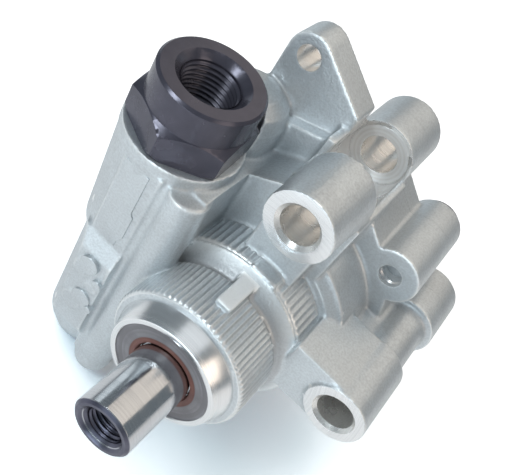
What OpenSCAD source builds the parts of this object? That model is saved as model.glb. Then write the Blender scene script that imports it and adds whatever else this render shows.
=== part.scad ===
// Power steering pump: vane pump with a flow control valve in one cast housing.
// Millimetres, +Z up along the outlet, the drive shaft points towards -Y.
// The origin is on the shaft axis, level with the front of the seal nose.

/* [Drive shaft] */

// Radius of the shaft where the pulley is pressed on
shaft_r = 8.5; // [7.5:0.1:9.2]
// Length of shaft that stands out of the nose
shaft_out = 21.2; // [16:0.1:28]
// Edge break on both shaft ends
shaft_edge = 0.8; // [0.4:0.1:1.2]
// Radius of the pulley puller thread in the shaft end
puller_r = 5.1; // [4:0.1:5.6]
// Depth of the pulley puller thread
puller_depth = 20; // [18:1:30]
// Radius of the countersunk mouth of that thread
puller_mouth_r = 6.8; // [6:0.1:7.2]
// Radius of the rear journal
journal_r = 6.2; // [5.5:0.1:6.6]
// Teeth on the rotor spline
spline_teeth = 18; // [14:1:22]
// Height of a spline tooth
spline_h = 0.9; // [0.6:0.1:1.1]

/* [Nose and barrel] */

// Radius of the machined nose at its front
nose_r = 16.15; // [15.9:0.05:17]
// Radius of the machined nose at its back
nose_back_r = 18.4; // [17.5:0.1:19.5]
// Length of the machined nose
nose_len = 5.8; // [4.5:0.1:7]
// Outer radius of the shaft seal
seal_r = 14.7; // [14:0.1:15.2]
// Depth of the shaft seal's back inside the nose
seal_len = 7; // [6:0.5:8]
// Depth of the shaft seal's face inside the nose
seal_recess = 0.7; // [0.6:0.1:1]
// Radius of the first fluted barrel
barrel_a_r = 20.7; // [19.8:0.1:21.5]
// Where the first fluted barrel ends
barrel_a_end = 20.8; // [19:0.1:22]
// Radius of the second fluted barrel
barrel_b_r = 25; // [24:0.1:26]
// Where the second fluted barrel starts
barrel_b_start = 25.3; // [24.5:0.1:26.5]
// Where the second fluted barrel ends
barrel_b_end = 36.8; // [35:0.1:38]
// Number of flutes round the first barrel
flutes_a = 144; // [100:2:160]
// Number of flutes round the second barrel
flutes_b = 96; // [72:2:110]
// Depth of a flute
flute_d = 0.35; // [0.2:0.05:0.5]
// Radius of the wide barrel in front of the ears
barrel_c_r = 30.5; // [30:0.1:31.5]

/* [Pump chamber] */

// Front face of the ears and of the wide chamber wall
ear_y = 53.8; // [52:0.1:55]
// Outer radius of the chamber wall
body_r = 34; // [33:0.5:35.5]
// Radius of the chamber
chamber_r = 27.4; // [26.5:0.1:27.8]
// Floor of the chamber
chamber_y = 41; // [40.5:0.1:42]
// Joint between housing and rear cover
joint_y = 73.8; // [73:0.1:75]
// Rear end of all lugs
rear_y = 83.5; // [82:0.1:84.5]
// Thickness of the plain part of the cover
cover_t = 7; // [6.8:0.1:7.6]
// Thickness of the pressure plate
plate_t = 7.5; // [6.5:0.1:8]
// Height of the plate spring
plate_spring_h = 1.5; // [1.2:0.1:2]
// Width of the cam ring and rotor
ring_w = 18; // [16:0.5:18.5]
// Radius of the rotor
rotor_r = 17.6; // [17:0.1:18]
// Stroke of a vane in the cam lobes
lobe = 1.6; // [1:0.1:2]
// Thickness of a vane
vane_t = 1.6; // [1.2:0.1:2]

/* [Upper mount] */

// Upper bolt axis, sideways
upper_x = 1; // [-1:0.1:3]
// Upper bolt axis, height
upper_z = 47.3; // [46:0.1:48.5]
// Front face of both mounting bosses
mount_y = 22.3; // [21:0.1:23.5]
// Radius of the upper boss at its front
upper_r = 9.5; // [9:0.1:10]
// Radius of both mounting bolt holes
bolt_hole_r = 5.25; // [4.8:0.05:5.4]
// Edge break at the mouth of a bolt hole
bolt_mouth = 0.45; // [0.2:0.05:0.6]
// Where the bolt pocket of the upper mount starts
pocket_y = 42.8; // [41.5:0.1:44]
// Radius of the bolt pocket
pocket_r = 8.8; // [8.4:0.1:9.2]
// Front face of the rear lugs on both bolt axes
rear_lug_y = 64.3; // [63:0.1:65.5]

/* [Side mount] */

// Side bolt axis, sideways
side_x = 38.6; // [37.5:0.1:40]
// Side bolt axis, height
side_z = 8.5; // [7.5:0.1:9.5]
// Radius of the side boss
side_r = 9.1; // [8.8:0.1:9.6]
// Where the side boss ends
side_end = 45.3; // [44:0.1:47]
// Radius of the rear side lug
side_lug_r = 9.75; // [9.4:0.05:10.2]

/* [Ears and cover screws] */

// Top ear hole, sideways
ear_x = -26.4; // [-27.5:0.1:-25.5]
// Top ear hole, height
ear_z = 61.5; // [60:0.1:63]
// Radius of the top ear hole
ear_hole_r = 3.4; // [3:0.1:3.8]
// Radius of the rounded top of the ear
ear_r = 6.5; // [6.2:0.1:7]
// Thickness of the ear
ear_t = 10; // [8.5:0.5:11]
// Cover screw position, sideways
lug_x = 25.3; // [24.6:0.1:26]
// Cover screw position, height
lug_z = 28.3; // [27.6:0.1:29]
// Radius of a cover screw lug
lug_r = 8.4; // [8:0.1:8.8]
// Radius of a cover screw
screw_r = 4; // [3.6:0.1:4.2]
// Radius of the hole seen at the front of a screw lug
screw_tip_r = 3.4; // [3:0.1:3.5]
// Radius of a cover screw head
screw_head_r = 7; // [6.2:0.1:7.4]
// Height of a cover screw head
screw_head_h = 2; // [1.6:0.1:2.6]

/* [Valve body] */

// Valve axis, sideways
valve_x = -35.8; // [-36.5:0.1:-35]
// Valve axis, along the shaft
valve_y = 29.5; // [28.8:0.1:30.2]
// Radius of the valve body at the deck, it narrows a little downwards
valve_top_r = 15.9; // [15.5:0.1:16.3]
// Radius of the valve body below the step
valve_low_r = 12.6; // [12.3:0.1:13.2]
// Height of the seat of the outlet fitting
seat_z = 39.2; // [38:0.1:40]
// Height of the deck beside the fitting
deck_z = 36; // [35:0.1:37]
// Height of the step in the valve body
step_z = 0; // [-2:0.1:2]
// Lowest point of the valve body
valve_low_z = -57; // [-59:0.5:-55]
// Radius of the bore the spool runs in
spool_bore_r = 8.5; // [8:0.1:8.8]
// Lower end of that bore
spool_bore_z = -46; // [-48:0.5:-44]
// Passage axis, sideways
passage_x = -23; // [-23.6:0.1:-22.5]
// Passage axis, along the shaft
passage_y = 18.8; // [18.2:0.1:19.4]
// Radius of the wall round the passage
passage_r = 5.6; // [5.2:0.1:6]

/* [Outlet fitting] */

// Height of the top of the fitting
fitting_top = 56.8; // [55.5:0.1:58]
// Radius of the round collar
collar_r = 13.8; // [13.2:0.1:14.4]
// Lower end of the round collar
collar_z = 48.5; // [47.5:0.1:49.5]
// Width of the hexagon across its flats
hex_af = 28; // [26:0.1:29]
// Turn of the hexagon about the valve axis
hex_turn = 34; // [0:1:59]
// Radius of the outlet thread
outlet_r = 7.6; // [7:0.1:8.2]
// Depth of the outlet thread
outlet_depth = 17; // [14:0.5:18]
// Radius of the mouth of the outlet
outlet_mouth_r = 9.6; // [9:0.1:10.4]
// Radius of the stem that screws into the housing
stem_r = 10.5; // [10:0.1:10.9]
// Lower end of the stem, where the spool stops
stem_z = 25; // [23:0.5:27]

/* [Suction port] */

// Radius of the suction port
suction_port_r = 7; // [6:0.1:7.2]
// Radius of the boss round the suction port
suction_boss_r = 10; // [9.5:0.1:10.8]
// Left face of that boss
suction_face_x = -50; // [-51.5:0.5:-48]
// Suction port axis, along the shaft
suction_port_y = 50.5; // [50.2:0.1:51]
// Suction port axis, height
suction_port_z = 32; // [31:0.1:32.4]

/* [Flow spool] */

// Length of the flow spool
spool_len = 36; // [30:1:40]
// Travel of the flow spool
spool_travel = 10; // [6:1:12]
// Thickness of the spring wire
wire = 1.7; // [1.4:0.1:2]
// Coils of the valve spring
coils = 7; // [5:1:8]

/* [Fits] */

// Running clearance of the shaft in its bushes and of the spool
run_gap = 0.03; // [0.02:0.01:0.08]
// End play of the rotor and vanes
end_gap = 0.04; // [0.02:0.01:0.08]
// Free space between parts that pass each other
pass_gap = 0.4; // [0.3:0.05:0.8]

/* [Hidden] */

// Number of vanes
vanes_n = 10;

$fn = 96;

// Small overlap that lets a cut run past a face
eps = 0.5;
// Step ring in front of the wide barrel
step_ring_r = 27;
step_ring_len = 2;
// Plain land under the flutes
flute_land = 0.4;
neck_r = barrel_a_r - flute_d - flute_land;
// Short rib on top of the first barrel
rib_x = [-2.2, 2.6];
rib_y = 12.2;
rib_h = 1.6;
// Smooth strip across the second barrel, behind the rib: its right side and its height over the flutes
strip_x = 6;
strip_h = 0.1;
barrel_c_y = barrel_b_end + step_ring_len;
// Height inside the casting where walls and webs root
root_z = 20;
// Growth of a cast boss radius from its front to its back
boss_draft = 0.4;
// Web under the upper boss and the height of its foot above the barrel
web_x = [upper_x - 8.8, upper_x + 7.5];
web_y = mount_y + 7.7;
// Wall of the bolt pocket and how far it runs on in front and above
trough_t = 2;
trough_len = 6;
// Rear lug of the upper mount and half the width of its web
upper_lug_r = upper_r + 0.1;
upper_lug_web = upper_r - 1;
// Wall of the side mount's neck round its bolt
neck_t = 2.2;
// Front bush
bush_out_r = shaft_r + 2.5;
bush_y = 12.8;
bush_end = barrel_b_end;
// Gap round the shaft between bush and chamber
shaft_hole_r = shaft_r + 1.5;
// Rear end of the cover screw lugs
lug_rear_y = rear_y + 1;
// Stack of plates in the chamber, from the front
plate_y = chamber_y + plate_spring_h;
ring_y = plate_y + plate_t;
thrust_y = ring_y + ring_w;
ring_r = chamber_r - 0.2;
// Walls of the shaft seal, and its lip that meets the shaft
seal_wall = 1.2;
seal_face = 1.6;
lip_r = shaft_r + 2;
lip_y = 4.2;
lip_w = 0.8;
// Relief groove behind the pulley seat
relief_y = 0.6;
relief_w = 1;
relief_d = 0.3;
// Shaft stations behind the bush
spline_y = ring_y - 2;
rear_journal_y = thrust_y + 1.5;
shaft_end = joint_y + 5.2;
spline_root_r = shaft_r - spline_h - 0.3;
spline_tip_r = shaft_r - 0.3;
rear_bush_r = journal_r + 1.6;
// Wall of the cover's boss round the rear bush
cover_boss_t = 6;
// Bottom of the vane slots
slot_r = rotor_r - 5.6;
// Clip in a groove of the spline, in a recess of the rotor
clip_t = 1.2;
clip_y = thrust_y - 2 * clip_t;
clip_r = spline_tip_r + 1;
clip_hole_r = spline_root_r - 0.6;
clip_play = 0.2;
clip_mouth = 3;
// Dowel pins through ring and plates
dowel_r = 2;
dowel_in = 2.5;
dowel_z = (rotor_r + ring_r) / 2 + 0.4;
// Dished plate spring: inner and outer radius, flat rims and thickness
dish_r = [bush_out_r + 3, dowel_z - dowel_r - 2 * pass_gap];
dish_w = 1.5;
dish_t = 0.6;
// Oil windows of both plates
window_at = rotor_r - 2.1;
window_r = 2.2;
// Screws
screw_tip_y = joint_y - 15;
screw_low_y = screw_tip_y - 2;
lug_front_y = screw_low_y - 1;
// Half width of the web behind a screw lug
lug_web = lug_r - 1.2;
// Hexagon socket of a cover screw
socket_r = 2.9;
socket_d = 3.5;
// Slope of the upper edge of the top ear and thickness of the ledge at its foot
ear_slope = 29.2;
ledge_t = 4;
// Corner radius of the fitting's hexagon, and the turning that breaks its corners
hex_r = hex_af / 2 / cos(30);
hex_out_r = hex_r + 0.7;
hex_base = 2;
hex_top_r = collar_r - 0.4;
hex_crown = 38.5;
// Valve
seal_groove = 1.8;
spool_r = spool_bore_r - run_gap;
spool_top_z = stem_z - end_gap;
spool_low_z = spool_top_z - spool_len;
spool_pocket_d = 8;
spool_groove_d = 2;
spool_groove_w = 5;
spool_hole_r = 3.5;
spring_r = spool_bore_r - 1;
// Ledge that stops the spool at the end of its travel
ledge_z = spool_low_z - spool_travel - pass_gap;
ledge_r = spring_r + pass_gap;
// Narrowing of the upper valve body from the deck down to the step
valve_draft = 1.5;
// Flat face on the front of the valve body
pad_y = valve_y - 15.4;
low_pad_y = pad_y - 2.2;
pad_left = valve_x - 4.7;
// Raised pad of the lower valve body: its sloping top, and where its lower end and its left side turn in
pad_top_z = step_z + 4.7;
pad_step_z = step_z - 1.5;
pad_end = [10, 16.5, 23];
pad_side = [[valve_x + 1, valve_low_z + 18], [valve_x - 2.5, valve_low_z + 19.5],
            [valve_x - 5, valve_low_z + 22.5], [valve_x - 6.2, valve_low_z + 27],
            [valve_x - 8.5, valve_low_z + 40]];
valley_x = passage_x - passage_r - 0.2;
valley_floor = 3.6;
// Bulb at the lower end of the passage
bulb_z = valve_low_z + 9;
bulb_over = 0.6;
// Wall of the deck above the barrel
deck_x = passage_x + passage_r - 1;
// Lower end of the bridge, and the rise of the deck towards the upper mount
bridge_low_z = -22;
deck_rise = 5;
// Domed boss behind the fitting
dome_x = -31;
dome_y = 47;
dome_r = 11;
dome_z = deck_z + 8;
dome_h = 7.5;
// Way from the suction port down to the chamber
suction_way_r = 4.5;
suction_way_len = norm([dome_x, suction_port_z]) - chamber_r + 2 * suction_way_r;
// Oil way between chamber and valve
oil_r = 2.5;
oil_x = -20;
oil_y = 35;
oil_z = 10;

// Colours for the preview only
cast_c = [0.76, 0.77, 0.76];
steel_c = [0.6, 0.62, 0.65];
black_c = [0.12, 0.11, 0.12];
rubber_c = [0.2, 0.16, 0.15];
lip_c = [0.42, 0.2, 0.14];
bronze_c = [0.68, 0.52, 0.3];

// Cylinder along +Y on the axis x, z
module rod_y(x, z, y0, y1, r) {
  translate([x, y0, z]) rotate([-90, 0, 0]) cylinder(h = y1 - y0, r = r);
}

// Cone along +Y on the axis x, z
module cone_y(x, z, y0, y1, r0, r1) {
  translate([x, y0, z]) rotate([-90, 0, 0]) cylinder(h = y1 - y0, r1 = r0, r2 = r1);
}

// Cylinder along +X on the axis y, z
module rod_x(y, z, x0, x1, r) {
  translate([x0, y, z]) rotate([0, 90, 0]) cylinder(h = x1 - x0, r = r);
}

// Cylinder along +Z on the axis x, y
module rod_z(x, y, z0, z1, r) {
  translate([x, y, z0]) cylinder(h = z1 - z0, r = r);
}

// Outline drawn in x and z, filled from y0 to y1
module prism_y(y0, y1) {
  translate([0, y1, 0]) rotate([90, 0, 0]) linear_extrude(y1 - y0) children();
}

// Outline drawn in x and y, filled from z0 to z1
module prism_z(z0, z1) {
  translate([0, 0, z0]) linear_extrude(z1 - z0) children();
}

// Outline drawn in radius and y, turned about the shaft axis
module turned_y() {
  rotate([-90, 0, 0]) rotate_extrude() children();
}

// Box from one corner to the other
module block(a, b) {
  translate(a) cube(b - a);
}

// Round end at x, z with a straight web back to the shaft axis
module lobe_2d(x, z, r, half) {
  translate([x, z]) circle(r = r);
  rotate(atan2(z, x)) translate([0, -half]) square([norm([x, z]), 2 * half]);
}

// Webs from the right screw lug to the two mounting bolts
module lug_web_2d() {
  polygon([[0, 0], [upper_x, upper_z - 2], [lug_x, lug_z], [side_x - 8.8, lug_z - 9],
           [side_x - 6.5, side_z + 4], [side_x - 6.5, side_z - 3]]);
}

// Ring of small points and hollows
function fluted(r, n, d) = [for (i = [0 : 2 * n - 1])
  let (rr = r - d * (i % 2)) [rr * cos(i * 180 / n), rr * sin(i * 180 / n)]];

// Spline outline with flat-topped teeth
function splined(root, tip, n) = [for (i = [0 : 4 * n - 1])
  let (rr = (i % 4 == 1 || i % 4 == 2) ? tip : root) [rr * cos(i * 90 / n), rr * sin(i * 90 / n)]];

// Four cover screw positions
function screw_spots() = [[lug_x, lug_z], [-lug_x, lug_z], [-lug_x, -lug_z], [lug_x, -lug_z]];

// Machined nose, fluted barrels and the wide barrel in front of the ears
module nose_and_barrel() {
  cone_y(0, 0, 0, nose_len, nose_r, nose_back_r);
  prism_y(nose_len, barrel_a_end) polygon(fluted(barrel_a_r, flutes_a, flute_d));
  rod_y(0, 0, nose_len, barrel_b_start, neck_r);
  cone_y(0, 0, barrel_a_end + 0.6, barrel_b_start, neck_r, barrel_b_r - flute_d - flute_land);
  prism_y(barrel_b_start, barrel_b_end) polygon(fluted(barrel_b_r, flutes_b, flute_d));
  cone_y(0, 0, barrel_b_end, barrel_c_y, step_ring_r, barrel_c_r - 0.9);
  rod_y(0, 0, barrel_c_y, ear_y, barrel_c_r);
  // Short rib on top of the first barrel
  block([rib_x[0], rib_y, nose_r], [rib_x[1], barrel_b_start + eps, barrel_a_r + rib_h]);
  // Smooth strip behind it
  intersection() {
    rod_y(0, 0, barrel_b_start, barrel_b_end, barrel_b_r + strip_h);
    block([rib_x[0], barrel_b_start, 0], [strip_x, barrel_b_end, barrel_b_r + 1]);
  }
}

// Wall round the chamber with its screw lugs
module chamber_wall() {
  rod_y(0, 0, ear_y, joint_y, body_r);
  prism_y(ear_y, joint_y) {
    lobe_2d(lug_x, lug_z, lug_r, lug_web);
    lug_web_2d();
  }
  for (p = [[-lug_x, -lug_z], [lug_x, -lug_z], [-lug_x, lug_z]]) {
    prism_y(lug_front_y, joint_y) lobe_2d(p[0], p[1], lug_r, lug_web);
  }
}

// Upper boss, its web, the bolt pocket walls and the rear lug
module upper_mount() {
  cone_y(upper_x, upper_z, mount_y, pocket_y, upper_r, upper_r + boss_draft);
  // Web under the boss, set back from its face
  block([web_x[0], web_y, nose_r], [web_x[1], pocket_y, upper_z]);
  // Trough round the bolt pocket, its left wall is the higher one
  block([upper_x - pocket_r - trough_t, pocket_y - trough_len, root_z],
        [upper_x + pocket_r + trough_t, rear_lug_y, upper_z - 1]);
  block([upper_x - pocket_r - trough_t, pocket_y + 2 * trough_t, root_z],
        [upper_x - trough_t, rear_lug_y, upper_z + trough_len]);
  // Rear lug and the web that ties it to the chamber wall
  rod_y(upper_x, upper_z, rear_lug_y - 1, joint_y, upper_lug_r);
  block([upper_x - upper_lug_web, rear_lug_y - 1, root_z], [upper_x + upper_lug_web, joint_y, upper_z]);
}

// Side boss with its block, the neck and the rear lug
module side_mount() {
  cone_y(side_x, side_z, mount_y, side_end, side_r, side_r + boss_draft / 2);
  block([root_z, mount_y + 1, side_z - side_r + 0.1], [side_x - 2, side_end, side_z + side_r - 0.3]);
  // Neck between the two lugs
  rod_y(side_x, side_z, side_end - 1, rear_lug_y + 1, bolt_hole_r + neck_t);
  block([root_z, side_end - 1, side_z - bolt_hole_r - 0.75],
        [side_x, rear_lug_y + 1, side_z + bolt_hole_r + 0.25]);
  rod_y(side_x, side_z, rear_lug_y, joint_y, side_lug_r);
}

// Top ear and the ledge at its foot
module top_ear() {
  prism_y(ear_y, ear_y + ear_t) {
    translate([ear_x, ear_z]) circle(r = ear_r);
    polygon([[ear_x - ear_r, root_z], [ear_x - ear_r, ear_z],
             [ear_x + ear_r * sin(ear_slope), ear_z + ear_r * cos(ear_slope)],
             [upper_x - 7, upper_z + upper_lug_r], [upper_x - 4, root_z]]);
  }
  prism_y(ear_y - ledge_t, ear_y + eps) {
    polygon([[deck_x - 3, root_z], [deck_x - 3, deck_z + 9.6],
             [upper_x - 9, upper_z + 3.3], [upper_x - 6, root_z]]);
  }
}

// Wall of one valve bore station with its flat front face
module valve_body() {
  // Upper round part and its flat face
  translate([valve_x, valve_y, step_z]) {
    cylinder(h = deck_z - step_z, r1 = valve_top_r - valve_draft, r2 = valve_top_r);
  }
  rod_z(valve_x, valve_y, deck_z - eps, seat_z, valve_top_r + 0.2);
  prism_z(step_z, deck_z) {
    polygon([[pad_left, pad_y], [valley_x, pad_y], [valley_x, valve_y], [pad_left, valve_y]]);
  }
  // Lower round part with a rounded bottom
  translate([valve_x, valve_y, 0]) rotate_extrude() {
    polygon([[0, valve_low_z], [valve_low_r - 9, valve_low_z], [valve_low_r - 2.6, valve_low_z + 2.6],
             [valve_low_r, valve_low_z + 9], [valve_low_r, step_z + 1], [0, step_z + 1]]);
  }
  // Raised pad on the front of the lower part, with a sloping top and bottom
  intersection() {
    rotate([90, 0, 90]) translate([0, 0, valve_x - valve_top_r]) linear_extrude(2 * valve_top_r) {
      polygon([[valve_y, pad_top_z], [pad_y, pad_top_z], [low_pad_y, pad_step_z],
               [low_pad_y, valve_low_z + pad_end[2]], [low_pad_y + 3, valve_low_z + pad_end[1]],
               [low_pad_y + 8, valve_low_z + pad_end[0]], [valve_y, valve_low_z + pad_end[0] - 2]]);
    }
    prism_z(valve_low_z, pad_top_z) {
      polygon([[valley_x, valve_y], [valley_x, low_pad_y], [pad_left + 1, low_pad_y],
               [pad_left - 2, low_pad_y + 3], [pad_left - 5, low_pad_y + 9], [pad_left - 7, valve_y]]);
    }
    prism_y(0, valve_y + eps) {
      polygon([[valley_x, pad_top_z], [valley_x, pad_side[0][1]], for (p = pad_side) p,
               [valve_x - valve_low_r - 1.4, pad_top_z]]);
    }
  }
  // Round ejector marks
  for (p = [[valve_x - 0.6, -8.5, 3], [valve_x + 4.2, -13, 1.9], [valve_x + 0.4, -24, 3.4]]) {
    rod_y(p[0], p[1], low_pad_y - 0.5, pad_y + 2, p[2]);
  }
  // Floor of the valley between the pad and the passage
  block([valley_x - eps, passage_y - valley_floor, bulb_z],
        [passage_x, passage_y + eps, deck_z - bulb_over]);
  // Wall of the passage with a rounded bulb at its lower end
  rod_z(passage_x, passage_y, bulb_z, deck_z - bulb_over, passage_r);
  translate([passage_x - 0.4, passage_y, bulb_z]) sphere(r = passage_r + bulb_over);
}

// Solid between valve body, deck, passage and barrel
module bridge() {
  block([valve_x, passage_y, valve_low_z + 12], [deck_x, 45, deck_z]);
  prism_y(barrel_b_end, ear_y + eps) {
    polygon([[valve_x, bridge_low_z], [valve_x, deck_z], [deck_x, deck_z],
             [upper_x - 11.5, deck_z + deck_rise], [upper_x - 5, deck_z + deck_rise + 2], [0, root_z],
             [-10, bridge_low_z]]);
  }
  // Boss with a rounded top, and the suction boss towards the left
  rod_z(dome_x, dome_y, step_z, dome_z, dome_r);
  translate([dome_x, dome_y, dome_z]) rotate_extrude() {
    polygon([[0, 0], [dome_r, 0], [dome_r - 1.5, dome_h - 3.5], [dome_r - 5, dome_h - 1], [0, dome_h]]);
  }
  rod_x(suction_port_y, suction_port_z, suction_face_x, dome_x, suction_boss_r);
}

// Everything that is cut from the casting
module housing_bores() {
  // Seal bore, bush bore and shaft hole
  rod_y(0, 0, -eps, seal_len + 0.3, seal_r);
  rod_y(0, 0, seal_len, bush_y, bush_out_r + 1);
  rod_y(0, 0, bush_y, bush_end, bush_out_r);
  rod_y(0, 0, bush_end - eps, chamber_y + eps, shaft_hole_r);
  // Chamber and the groove of the cover seal
  rod_y(0, 0, chamber_y, joint_y + eps, chamber_r);
  turned_y() translate([chamber_r + 1.8, joint_y - seal_groove]) square([2.6, seal_groove + eps]);
  // Upper bolt hole, pocket and spot face
  rod_y(upper_x, upper_z, mount_y - eps, joint_y + eps, bolt_hole_r);
  cone_y(upper_x, upper_z, mount_y - 0.01, mount_y + bolt_mouth, bolt_hole_r + bolt_mouth, bolt_hole_r);
  rod_y(upper_x, upper_z, pocket_y, rear_lug_y, pocket_r);
  block([upper_x - pocket_r + 0.5, pocket_y, upper_z], [upper_x + pocket_r - 0.5, rear_lug_y, upper_z + 20]);
  // Side bolt hole
  rod_y(side_x, side_z, mount_y - eps, joint_y + eps, bolt_hole_r);
  cone_y(side_x, side_z, mount_y - 0.01, mount_y + bolt_mouth, bolt_hole_r + bolt_mouth, bolt_hole_r);
  // Top ear hole
  rod_y(ear_x, ear_z, ear_y - eps, ear_y + ear_t + eps, ear_hole_r);
  // Screw holes, the right one goes through to the front
  for (p = screw_spots()) {
    rod_y(p[0], p[1], screw_tip_y, joint_y + eps, screw_r);
  }
  rod_y(lug_x, lug_z, ear_y - eps, screw_tip_y + eps, screw_tip_r);
  for (p = [[-lug_x, lug_z], [-lug_x, -lug_z], [lug_x, -lug_z]]) {
    rod_y(p[0], p[1], screw_low_y, screw_tip_y + eps, screw_tip_r);
  }
  // Dowel holes in the chamber floor
  for (s = [-1, 1]) {
    rod_y(0, s * dowel_z, chamber_y - dowel_in, chamber_y + eps, dowel_r);
  }
  // Valve bore with its ledge, stem thread and seal groove
  rod_z(valve_x, valve_y, spool_bore_z, ledge_z + eps, ledge_r);
  rod_z(valve_x, valve_y, ledge_z, stem_z + eps, spool_bore_r);
  rod_z(valve_x, valve_y, stem_z - 2, seat_z + eps, stem_r);
  rod_z(valve_x, valve_y, seat_z - seal_groove, seat_z + eps, stem_r + 2.4);
  // Spot face that clears the hexagon
  rod_z(valve_x, valve_y, seat_z, dome_z + dome_h + eps, hex_r + pass_gap);
  // Oil ways between chamber, valve and passage
  rod_y(oil_x, oil_z, oil_y - oil_r, chamber_y + eps, oil_r);
  rod_x(oil_y, oil_z, valve_x, oil_x + oil_r, oil_r);
  // Suction port and its way into the chamber
  rod_x(suction_port_y, suction_port_z, suction_face_x - eps, dome_x, suction_port_r);
  translate([dome_x, suction_port_y, suction_port_z]) {
    rotate([0, 90 + atan2(suction_port_z, -dome_x), 0]) cylinder(h = suction_way_len, r = suction_way_r);
  }
}

// Cast housing
module front_housing() {
  color(cast_c) difference() {
    union() {
      nose_and_barrel();
      chamber_wall();
      upper_mount();
      side_mount();
      top_ear();
      valve_body();
      bridge();
    }
    housing_bores();
  }
}

// Cast rear cover with the rear ends of all lugs
module rear_cover() {
  color(cast_c) difference() {
    union() {
      rod_y(0, 0, joint_y, joint_y + cover_t, body_r);
      rod_y(0, 0, joint_y, rear_y, rear_bush_r + cover_boss_t);
      for (p = screw_spots()) {
        prism_y(joint_y, joint_y + cover_t) lobe_2d(p[0], p[1], lug_r, lug_web);
        rod_y(p[0], p[1], joint_y, lug_rear_y, lug_r);
      }
      prism_y(joint_y, joint_y + cover_t) lug_web_2d();
      rod_y(upper_x, upper_z, joint_y, rear_y, upper_lug_r);
      block([upper_x - upper_lug_web, joint_y, root_z],
            [upper_x + upper_lug_web, joint_y + cover_t, upper_z]);
      rod_y(side_x, side_z, joint_y, rear_y, side_lug_r);
    }
    rod_y(upper_x, upper_z, joint_y - eps, rear_y + eps, bolt_hole_r);
    rod_y(side_x, side_z, joint_y - eps, rear_y + eps, bolt_hole_r);
    for (p = screw_spots()) {
      rod_y(p[0], p[1], joint_y - eps, lug_rear_y + eps, screw_r);
    }
    for (s = [-1, 1]) {
      rod_y(0, s * dowel_z, joint_y - eps, joint_y + dowel_in, dowel_r);
    }
    rod_y(0, 0, joint_y - eps, shaft_end + shaft_edge, rear_bush_r);
  }
}

// Four low-head screws that hold the cover
module cover_screws() {
  color(black_c) for (p = screw_spots()) {
    difference() {
      union() {
        rod_y(p[0], p[1], screw_tip_y + 1, lug_rear_y, screw_r);
        rod_y(p[0], p[1], lug_rear_y, lug_rear_y + screw_head_h, screw_head_r);
      }
      translate([p[0], lug_rear_y + screw_head_h - socket_d, p[1]]) rotate([-90, 0, 0]) {
        cylinder(h = socket_d + eps, r = socket_r, $fn = 6);
      }
    }
  }
}

// Drive shaft with puller thread, spline and rear journal
module drive_shaft() {
  color(steel_c) difference() {
    union() {
      cone_y(0, 0, -shaft_out, -shaft_out + shaft_edge, shaft_r - shaft_edge, shaft_r);
      rod_y(0, 0, -shaft_out + shaft_edge, spline_y, shaft_r);
      prism_y(spline_y - eps, rear_journal_y) polygon(splined(spline_root_r, spline_tip_r, spline_teeth));
      rod_y(0, 0, rear_journal_y - eps, shaft_end - shaft_edge, journal_r);
      cone_y(0, 0, shaft_end - shaft_edge, shaft_end, journal_r, journal_r - shaft_edge);
    }
    // Relief groove that ends the pulley seat
    turned_y() translate([shaft_r - relief_d, relief_y]) square([2 * relief_d, relief_w]);
    // Puller thread with its countersunk mouth
    rod_y(0, 0, -shaft_out - eps, -shaft_out + puller_depth, puller_r);
    cone_y(0, 0, -shaft_out - 0.01, -shaft_out + puller_mouth_r - puller_r, puller_mouth_r, puller_r);
    // Groove of the rotor clip
    turned_y() translate([clip_hole_r, clip_y]) square([clip_r - clip_hole_r, clip_t]);
  }
}

// Pressed ring of the shaft seal
module seal_case() {
  color(rubber_c) turned_y() {
    polygon([[seal_r, seal_recess], [seal_r, seal_len], [lip_r, seal_len], [lip_r, seal_len - seal_wall],
             [seal_r - seal_wall, seal_len - seal_wall], [seal_r - seal_wall, seal_recess + 2],
             [lip_r, seal_recess + seal_face], [lip_r, seal_recess]]);
  }
}

// Rubber lip of the shaft seal
module seal_lip() {
  color(lip_c) turned_y() {
    polygon([[lip_r, seal_recess], [lip_r, seal_recess + seal_face], [lip_r - 0.6, lip_y + lip_w],
             [shaft_r + run_gap, lip_y + lip_w], [shaft_r + run_gap, lip_y], [shaft_r + 0.6, lip_y - 1.6],
             [shaft_r + 0.2, seal_recess + 0.4], [shaft_r + 0.5, seal_recess]]);
  }
}

// Bush pressed into the barrel
module front_bush() {
  color(bronze_c) difference() {
    rod_y(0, 0, bush_y, bush_end, bush_out_r);
    rod_y(0, 0, bush_y - eps, bush_end + eps, shaft_r + run_gap);
  }
}

// Bush pressed into the cover
module rear_bush() {
  color(bronze_c) difference() {
    rod_y(0, 0, joint_y, shaft_end - shaft_edge, rear_bush_r);
    rod_y(0, 0, joint_y - eps, shaft_end + eps, journal_r + run_gap);
  }
}

// Dished spring that holds the pressure plate against the ring
module plate_spring() {
  color(steel_c) turned_y() {
    polygon([[dish_r[0], chamber_y], [dish_r[0] + dish_w, chamber_y], [dish_r[1], plate_y - dish_t],
             [dish_r[1], plate_y], [dish_r[1] - dish_w, plate_y], [dish_r[0], chamber_y + dish_t]]);
  }
}

// Pressure plate with its seal groove, oil windows and dowel holes
module pressure_plate() {
  color(steel_c) difference() {
    rod_y(0, 0, plate_y, ring_y, ring_r);
    rod_y(0, 0, plate_y - eps, ring_y + eps, shaft_r + pass_gap);
    turned_y() translate([ring_r - 2, plate_y + plate_t / 2 - 1.3]) square([4, 2.6]);
    plate_openings(plate_y - eps, ring_y + eps);
  }
}

// Dowel holes and oil windows shared by both plates
module plate_openings(y0, y1) {
  for (s = [-1, 1]) {
    rod_y(0, s * dowel_z, y0, y1, dowel_r + run_gap);
    for (a = [52, 128]) {
      rod_y(window_at * cos(a), s * window_at * sin(a), y0, y1, window_r);
    }
  }
}

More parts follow.
